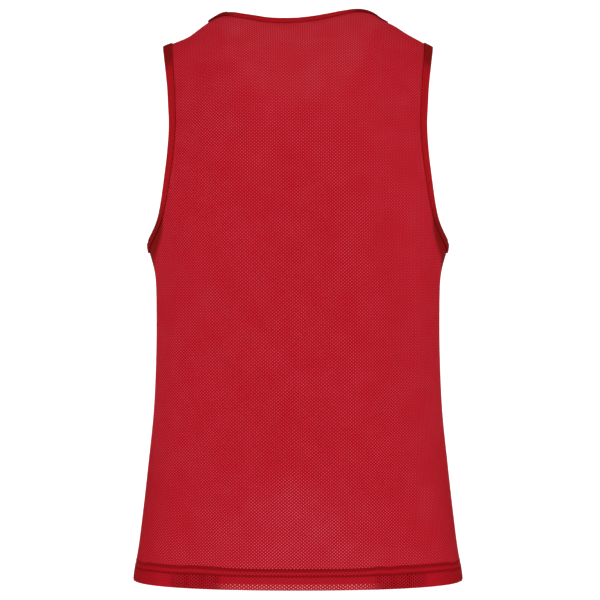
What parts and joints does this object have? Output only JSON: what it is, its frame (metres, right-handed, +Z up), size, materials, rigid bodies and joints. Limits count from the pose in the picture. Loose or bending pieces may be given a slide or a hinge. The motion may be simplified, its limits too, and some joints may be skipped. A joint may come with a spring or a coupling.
{
  "type": "training bib",
  "caption": "Sleeveless mesh training vest, filled out as when worn: back and front panels, a bound neck and armholes, a turned-up hem. Hollow and open.",
  "frame": {"origin": "midway between the shoulders, on the line of the shoulder seams, under the middle of the straps", "axes": "+X towards the right in the back view, +Y from the back panel to the front panel, +Z up from hem to neck"},
  "size_m": [0.4178, 0.2762, 0.7376],
  "materials": {
    "mesh": "matt red warp-knit mesh with small holes",
    "trim": "matt fine flat knit, a darker red"
  },
  "bodies": {
    "root": {"back_panel": "mesh", "front_panel": "mesh", "neck_binding": "trim", "armhole_binding_left": "trim", "armhole_binding_right": "trim"}
  },
  "joints": []
}
